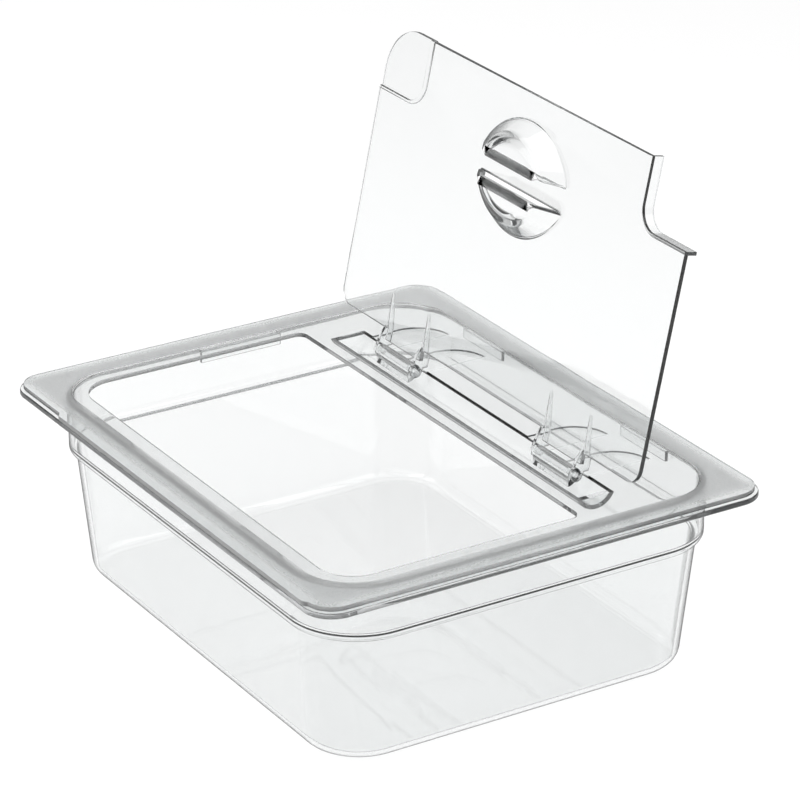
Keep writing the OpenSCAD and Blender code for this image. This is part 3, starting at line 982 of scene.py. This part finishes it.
        outline = [
            (edge - s.fin_reach, s.under + s.thickness),
            (edge, s.under + s.fin_rise),
            closed(s.heel_to, s.heel_height),
            closed(s.heel_from, s.heel_height),
            *[(k * math.sin(turn), k * math.cos(turn)) for turn in turns],
            (edge + s.root, s.under - s.root_drop),
            (edge - s.root, s.under),
            (edge - s.fin_reach, s.under + SUNK),
        ]
        return soften(traced("ear", outline, -hinge.ear / 2, hinge.ear / 2), hinge.edge)


# ---------------------------------------------------------------- stage


class FOODPAN_OT_stage(Operator):
    """Plain pale floor, soft studio light and the camera"""

    bl_idname = "foodpan.stage"
    bl_label = "Stage"

    def execute(self, context):
        s = settings().stage
        scene = context.scene
        only_clear()
        bpy.ops.mesh.primitive_plane_add(size=12, location=(0, 0, -s.floor_gap))
        floor = named("floor")
        bpy.ops.object.transform_apply(location=True, rotation=True, scale=True)
        # Matt paper: a faint felt with fibres about 3 mm apart keeps it from looking like a bare plane.
        material, tree = new_material("paper_sweep_matt")
        spot = add_node(tree, "ShaderNodeTexCoord").outputs["Object"]
        fibre = add_node(tree, "ShaderNodeTexNoise", {"Scale": 1 / (3 * MM), "Detail": 2.0}, {"Vector": spot})
        felt = add_node(
            tree, "ShaderNodeBump", {"Strength": 0.05, "Distance": 0.05 * MM}, {"Height": fibre.outputs[0]}
        )
        paper = add_node(
            tree, "ShaderNodeBsdfPrincipled",
            {"Base Color": (*s.floor, 1), "Roughness": 0.9, "Specular IOR Level": 0.2},
            {"Normal": felt.outputs["Normal"]},
        )
        add_node(tree, "ShaderNodeOutputMaterial", None, {"Surface": paper.outputs[0]})
        floor.data.materials.append(material)

        world = bpy.data.worlds.new("soft_surround")
        scene.world = world
        world.use_nodes = True
        tree = world.node_tree
        tree.nodes.clear()
        way = add_node(tree, "ShaderNodeTexCoord").outputs["Generated"]
        height = add_node(tree, "ShaderNodeSeparateXYZ", None, {"Vector": way}).outputs["Z"]
        ramp = add_node(tree, "ShaderNodeValToRGB", None, {"Fac": height})
        stops = ((s.dark_to, s.dark), (s.bright_from, s.bright))
        for stop, (sine, tone) in zip(ramp.color_ramp.elements, stops):
            stop.position = sine
            stop.color = (tone, tone, tone, 1)
        glow = add_node(tree, "ShaderNodeBackground", {"Strength": s.sky}, {"Color": ramp.outputs["Color"]})
        add_node(tree, "ShaderNodeOutputWorld", None, {"Surface": glow.outputs[0]})

        self.softbox("key_light", Vector(s.key_place), s.box_size, s.key)
        self.softbox("fill_light", Vector(s.fill_place), s.box_size, s.fill)

        camera_data = bpy.data.cameras.new("camera")
        camera = bpy.data.objects.new("camera", camera_data)
        scene.collection.objects.link(camera)
        camera_data.lens = s.lens
        camera_data.sensor_width = 36
        camera_data.clip_end = 50
        camera.location = s.camera_place
        aim = Vector(s.camera_aim) - Vector(s.camera_place)
        camera.rotation_euler = aim.to_track_quat("-Z", "Y").to_euler()
        scene.camera = camera

        scene.view_settings.view_transform = "Standard"
        scene.view_settings.look = "None"
        scene.cycles.max_bounces = 24
        scene.cycles.transmission_bounces = 24
        scene.cycles.glossy_bounces = 8
        scene.cycles.transparent_max_bounces = 24
        return {"FINISHED"}

    @staticmethod
    def softbox(name, hung, size, power):
        """A square soft light that looks at the pan."""
        light = bpy.data.lights.new(name, "AREA")
        light.shape = "SQUARE"
        light.size = size
        light.energy = power
        lamp = bpy.data.objects.new(name, light)
        bpy.context.scene.collection.objects.link(lamp)
        lamp.location = hung
        lamp.rotation_euler = (-hung).to_track_quat("-Z", "Y").to_euler()


class FOODPAN_PT_sidebar(Panel):
    """Lists the pieces and their sizes"""

    bl_label = "Food pan"
    bl_idname = "FOODPAN_PT_sidebar"
    bl_space_type = "VIEW_3D"
    bl_region_type = "UI"
    bl_category = "Food pan"

    def draw(self, context):
        layout = self.layout
        values = context.scene.food_pan
        layout.prop(values, "corner_steps")
        for group, operator in (
            ("pan", "foodpan.pan"), ("lid", "foodpan.lid_frame"), ("hinge", None), ("flap", "foodpan.flap"),
            ("finish", None), ("stage", "foodpan.stage"),
        ):
            box = layout.box()
            if operator:
                box.operator(operator)
            part = getattr(values, group)
            for key in part.__annotations__:
                box.prop(part, key)


CLASSES = (
    PanSizes, LidSizes, HingeSizes, FlapSizes, Finish, Stage, FoodPanSettings,
    FOODPAN_OT_pan, FOODPAN_OT_lid_frame, FOODPAN_OT_flap, FOODPAN_OT_stage, FOODPAN_PT_sidebar,
)


def register():
    for cls in CLASSES:
        bpy.utils.register_class(cls)
    bpy.types.Scene.food_pan = PointerProperty(type=FoodPanSettings)


def unregister():
    del bpy.types.Scene.food_pan
    for cls in reversed(CLASSES):
        bpy.utils.unregister_class(cls)


def main():
    register()
    bpy.ops.foodpan.pan()
    bpy.ops.foodpan.lid_frame()
    bpy.ops.foodpan.flap()
    bpy.ops.foodpan.stage()


if __name__ == "__main__":
    main()
